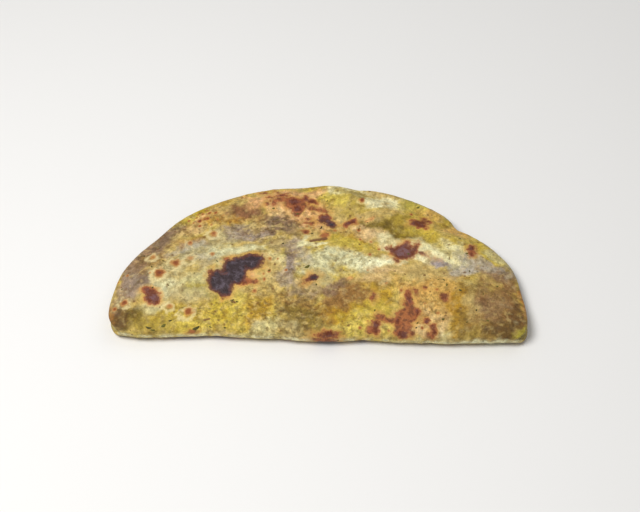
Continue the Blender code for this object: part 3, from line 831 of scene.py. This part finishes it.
# grey on the char: partly ash and partly painted sheen
ASH_AND_SHEEN = opaque(104, 92, 102)
CHAR_EDGE = opaque(104, 56, 40)
SCORCH = opaque(118, 84, 84)
DARK_SCORCH = opaque(98, 44, 22)
TERRACOTTA = opaque(162, 94, 54)
DARK_TERRACOTTA = opaque(108, 54, 36)
BLISTER_BROWN = opaque(188, 130, 68)
BLISTER_MIDDLE = opaque(138, 72, 34)
GOLDEN = opaque(210, 158, 80)
PALE_RING = opaque(232, 214, 156)
DOUGH = opaque(196, 176, 108)
PALE_GRAIN = opaque(222, 194, 122)
DEEPER = (0.62, 0.56, 0.46, 1)  # what the deeper browned grains multiply the crust's tone by
OLIVE_SHADE = opaque(112, 92, 36)
DOT_BROWN = opaque(112, 76, 36)
# the slits' dark brown, partly their own colour and partly painted shade inside them
SLIT_BROWN_AND_SHADE = opaque(112, 74, 48)
HERB_DARK = opaque(52, 50, 26)
HERB_GREEN = opaque(98, 96, 34)
HERB_BROWN = opaque(86, 68, 34)
FLOOR_COLOUR = (0.80, 0.79, 0.77, 1)
# The crust's noises: how far their place is moved, cell, detail, roughness, distortion
CRUST_NOISES = {
    "grain": (0, 0.8, 3.0, 0.6, 0.0),
    "mottle": (0, 2.4, 4.0, 0.65, 0.0),
    "clouds": (30, 6.0, 3.0, 0.6, 0.0),
    "paler": (60, 2.8, 2.0, 0.5, 0.3),
    "browner": (90, 3.0, 3.0, 0.5, 0.3),
    "threads": (120, 5.0, 3.0, 0.6, 0.8),
    "flecked": (150, 2.2, 4.0, 0.6, 0.4),
}
FRECKLES = (2.2, 0.8, 0.7)  # how far apart the brown dots' cells are, their size, how many cells have one
GLOW_REACH = {"browned": 2.6, "scorched": 2.6, "charred": 3.6}  # of the golden halo round the spots
SPECULAR = 0.25
CRUST_BUMP, HERB_BUMP = 0.0006, 0.0001  # in metres


def add(tree, kind, values=None, **settings):
    """A new node, with its inputs set to values or linked to sockets."""
    made = tree.nodes.new(kind)
    for name, value in settings.items():
        setattr(made, name, value)
    for key, value in (values or {}).items():
        if isinstance(value, bpy.types.NodeSocket):
            tree.links.new(value, made.inputs[key])
        else:
            made.inputs[key].default_value = value
    return made


def field(tree, name, output="Fac"):
    return add(tree, "ShaderNodeAttribute", attribute_name=name).outputs[output]


def arith(tree, operation, *values):
    return add(tree, "ShaderNodeMath", dict(enumerate(values)), operation=operation).outputs[0]


def times(tree, first, second):
    return arith(tree, "MULTIPLY", first, second)


def moved(tree, place, offset):
    values = {0: place, 1: (offset, offset, 0)}
    return add(tree, "ShaderNodeVectorMath", values, operation="ADD").outputs[0]


def fine_noise(tree, place, cell, detail, roughness, distortion=0.0):
    values = {"Vector": place, "Scale": 1 / cell, "Detail": detail, "Roughness": roughness}
    values["Distortion"] = distortion
    return add(tree, "ShaderNodeTexNoise", values).outputs["Fac"]


def ramp(tree, value, low, high, out_low=0.0, out_high=1.0):
    values = {0: value, 1: low, 2: high, 3: out_low, 4: out_high}
    made = add(tree, "ShaderNodeMapRange", values, interpolation_type="SMOOTHSTEP")
    return made.outputs[0]


def dots(tree, place, apart, size, most):
    """1 on small round dots, 0 between them. Only some of the cells hold one, of any size up to this."""
    cells = add(tree, "ShaderNodeTexVoronoi", {"Vector": place, "Scale": 1 / apart})
    chance = add(tree, "ShaderNodeSeparateColor", {0: cells.outputs["Color"]}).outputs[0]
    reach = ramp(tree, chance, 1 - most, 1.0, 0.0, size / apart)
    return ramp(tree, arith(tree, "SUBTRACT", reach, cells.outputs["Distance"]), 0.0, 0.3 * size / apart)


def mixed(tree, share, first, second, blend_type="MIX"):
    made = add(tree, "ShaderNodeMix", data_type="RGBA", blend_type=blend_type)
    for socket, value in ((made.inputs[0], share), (made.inputs[6], first), (made.inputs[7], second)):
        if isinstance(value, bpy.types.NodeSocket):
            tree.links.new(value, socket)
        else:
            socket.default_value = value
    return made.outputs[2]


def layered(tree, colour, value, *layers):
    """The colour with layers on it: the value where each starts and is full, how full, its colour."""
    for low, high, most, top in layers:
        colour = mixed(tree, ramp(tree, value, low, high, 0, most), colour, top)
    return colour


def shaded(tree, colour, value):
    grey = add(tree, "ShaderNodeCombineColor", {0: value, 1: value, 2: value}).outputs[0]
    return mixed(tree, 1.0, colour, grey, "MULTIPLY")


def new_material(name):
    """(the material, its node tree, its surface shader)."""
    material = bpy.data.materials.new(name)
    material.use_nodes = True
    return material, material.node_tree, material.node_tree.nodes["Principled BSDF"]


def mottled(tree, place, noises):
    """The crust's tone with its grains, fine creases, mottling and brown dots."""
    strength = field(tree, "mottling")
    colour = field(tree, "tone", "Color")
    deeper = mixed(tree, 1.0, colour, DEEPER, "MULTIPLY")
    vein = arith(tree, "ABSOLUTE", arith(tree, "SUBTRACT", noises["threads"], 0.5))
    for value, low, high, most, top in (
        (noises["browner"], 0.54, 0.38, 0.95, deeper),
        (noises["paler"], 0.50, 0.70, 0.42, PALE_GRAIN),
        (vein, 0.03, 0.0, 0.45, OLIVE_SHADE),
    ):
        share = times(tree, ramp(tree, value, low, high, 0, most), strength)
        colour = mixed(tree, share, colour, top)
    swing = ramp(tree, strength, 0.4, 1.0, 0.22, 0.38)
    shade = arith(tree, "MULTIPLY_ADD", ramp(tree, noises["mottle"], 0.28, 0.72, -1, 1), swing, 1.0)
    colour = shaded(tree, colour, shade)
    colour = shaded(tree, colour, ramp(tree, noises["grain"], 0.25, 0.75, 0.87, 1.13))
    speckle = times(tree, dots(tree, place, *FRECKLES), ramp(tree, noises["clouds"], 0.36, 0.60))
    return mixed(tree, times(tree, speckle, 0.7), colour, DOT_BROWN)


def blistered(tree, colour, noises, ragged):
    """The colour with the blisters on it: a pale ring, and a brown middle."""
    ring = times(tree, field(tree, "ring"), ramp(tree, noises["mottle"], 0.3, 0.6, 0.4, 1.0))
    colour = layered(tree, colour, ring, (0.15, 0.9, 0.6, PALE_RING))
    blister = arith(tree, "MULTIPLY_ADD", ragged, 0.16, field(tree, "blister"))
    return layered(
        tree,
        colour,
        blister,
        (0.15, 0.60, 0.8, BLISTER_BROWN),
        (0.48, 0.85, 0.9, BLISTER_MIDDLE),
        (0.88, 1.15, 0.9, CHAR_EDGE),
    )


def baked(tree, colour, noises, ragged):
    """The colour with the browned, scorched and charred spots on it, each in a golden halo."""
    spots = {name: arith(tree, "ADD", field(tree, name), ragged) for name in GLOW_REACH}
    glow = ramp(tree, noises["clouds"], 0.35, 0.65, 0.15, 0.75)
    for name, reach in GLOW_REACH.items():
        colour = mixed(tree, times(tree, ramp(tree, spots[name], -reach, -0.4), glow), colour, GOLDEN)
    brown = mixed(tree, ramp(tree, noises["flecked"], 0.58, 0.42), TERRACOTTA, DARK_TERRACOTTA)
    colour = layered(tree, colour, spots["browned"], (-1.0, 0.4, 0.92, brown))

    scorched = spots["scorched"]
    rim = times(tree, ramp(tree, scorched, -1.1, -0.2), ramp(tree, noises["mottle"], 0.3, 0.6, 0.5, 0.95))
    colour = mixed(tree, rim, colour, TERRACOTTA)
    dark = layered(tree, DARK_SCORCH, noises["browner"], (0.42, 0.60, 0.35, SCORCH))
    colour = layered(tree, colour, scorched, (-0.7, 0.8, 0.95, dark))
    ashen = times(tree, ramp(tree, scorched, 0.9, 2.2), ramp(tree, noises["mottle"], 0.35, 0.6))
    colour = mixed(tree, ashen, colour, SCORCH)

    # grey flecks on the char, partly ash and partly painted sheen
    char = layered(tree, CHAR, noises["flecked"], (0.42, 0.74, 0.8, ASH_AND_SHEEN))
    char = layered(tree, char, spots["charred"], (1.3, 0.1, 0.6, CHAR_EDGE))
    edge, middle = (-1.2, -0.2, 0.85, CHAR_EDGE), (-0.7, 0.4, 1.0, char)
    return layered(tree, colour, spots["charred"], edge, middle)


def crust_material():
    material, tree, surface = new_material("crust")
    place = field(tree, "skin", "Vector")
    noises = {
        name: fine_noise(tree, moved(tree, place, offset), *settings)
        for name, (offset, *settings) in CRUST_NOISES.items()
    }
    mottle, grain = noises["mottle"], noises["grain"]
    ragged = ramp(tree, mottle, 0.25, 0.75, -0.5, 0.5)
    ragged = arith(tree, "ADD", ragged, ramp(tree, grain, 0.25, 0.75, -0.25, 0.25))
    colour = mottled(tree, place, noises)
    colour = blistered(tree, colour, noises, ragged)
    colour = baked(tree, colour, noises, ragged)
    # the slits: partly their own brown and partly painted shade inside them
    colour = layered(tree, colour, field(tree, "slit"), (-0.5, 0.2, 0.92, SLIT_BROWN_AND_SHADE))
    colour = layered(tree, colour, field(tree, "inside"), (0.2, 0.8, 1.0, DOUGH))
    tree.links.new(colour, surface.inputs["Base Color"])
    tree.links.new(ramp(tree, mottle, 0.3, 0.7, 0.42, 0.62), surface.inputs["Roughness"])
    surface.inputs["Specular IOR Level"].default_value = SPECULAR
    height = arith(tree, "MULTIPLY_ADD", mottle, 1.5, grain)
    bump = add(tree, "ShaderNodeBump", {"Height": height, "Strength": 0.7, "Distance": CRUST_BUMP})
    tree.links.new(bump.outputs[0], surface.inputs["Normal"])
    return material


def herb_material():
    material, tree, surface = new_material("herb")
    place = add(tree, "ShaderNodeTexCoord").outputs["Object"]
    grain = fine_noise(tree, place, 0.4 * MM, 3.0, 0.6)
    leaf = mixed(tree, field(tree, "shade"), HERB_DARK, HERB_GREEN)
    leaf = layered(tree, leaf, grain, (0.45, 0.7, 0.6, HERB_BROWN))
    tree.links.new(leaf, surface.inputs["Base Color"])
    tree.links.new(ramp(tree, grain, 0.3, 0.7, 0.5, 0.75), surface.inputs["Roughness"])
    surface.inputs["Specular IOR Level"].default_value = SPECULAR
    bump = add(tree, "ShaderNodeBump", {"Height": grain, "Strength": 0.5, "Distance": HERB_BUMP})
    tree.links.new(bump.outputs[0], surface.inputs["Normal"])
    return material


def floor_material():
    material, _, surface = new_material("floor")
    surface.inputs["Base Color"].default_value = FLOOR_COLOUR
    surface.inputs["Roughness"].default_value = 0.9
    return material


# --- The pieces and the stage ---


def new_object(name, data):
    made = bpy.data.objects.new(name, data)
    scene.collection.objects.link(made)
    return made


def make_bread():
    mesh, move = bread_mesh()
    mesh.materials.append(crust_material())
    bread = new_object("paratha_bread", mesh)
    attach(bread, "root")
    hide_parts("paratha")
    return move


def make_herbs(move):
    mesh = herb_mesh(move)
    mesh.materials.append(herb_material())
    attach(new_object("herb_flecks", mesh), "root")


def add_light(name, place, size, power):
    """A round area light that points at the bread."""
    lamp = bpy.data.lights.new(name, "AREA")
    lamp.shape, lamp.size, lamp.energy = "DISK", size, power
    light = new_object(name, lamp)
    light.location = place
    light.rotation_euler = (-Vector(place)).to_track_quat("-Z", "Y").to_euler()


def make_stage():
    """The floor, the lights and the pale surroundings, in metres and watts."""
    mesh = bpy.data.meshes.new("floor")
    far = 3.0
    mesh.from_pydata([(-far, -far, 0), (far, -far, 0), (far, far, 0), (-far, far, 0)], [], [(0, 1, 2, 3)])
    mesh.materials.append(floor_material())
    floor = new_object("floor", mesh)
    add_light("key", (-0.30, -0.20, 0.72), size=0.4, power=5.6)
    add_light("fill", (0.4, 0.5, 0.8), size=0.9, power=1.4)
    world = bpy.data.worlds.new("studio")
    world.use_nodes = True
    backdrop = world.node_tree.nodes["Background"]
    backdrop.inputs["Color"].default_value = (1, 1, 1, 1)
    backdrop.inputs["Strength"].default_value = 0.3
    scene.world = world
    scene.view_settings.view_transform = "Standard"


def make_camera():
    """The view from in front and above, a little to the right."""
    azimuth, elevation, distance = math.radians(2.0), math.radians(50.5), 0.592
    aim = Vector((-0.00055, 0.00753, 0))
    level = distance * math.cos(elevation)
    away = Vector((math.sin(azimuth) * level, -math.cos(azimuth) * level, distance * math.sin(elevation)))
    lens = bpy.data.cameras.new("camera")
    lens.lens, lens.sensor_width = 73.1, 36.0
    camera = new_object("camera", lens)
    camera.location = aim + away
    camera.rotation_euler = (-away).to_track_quat("-Z", "Y").to_euler()
    bpy.context.scene.camera = camera


make_camera()
make_stage()
make_herbs(make_bread())
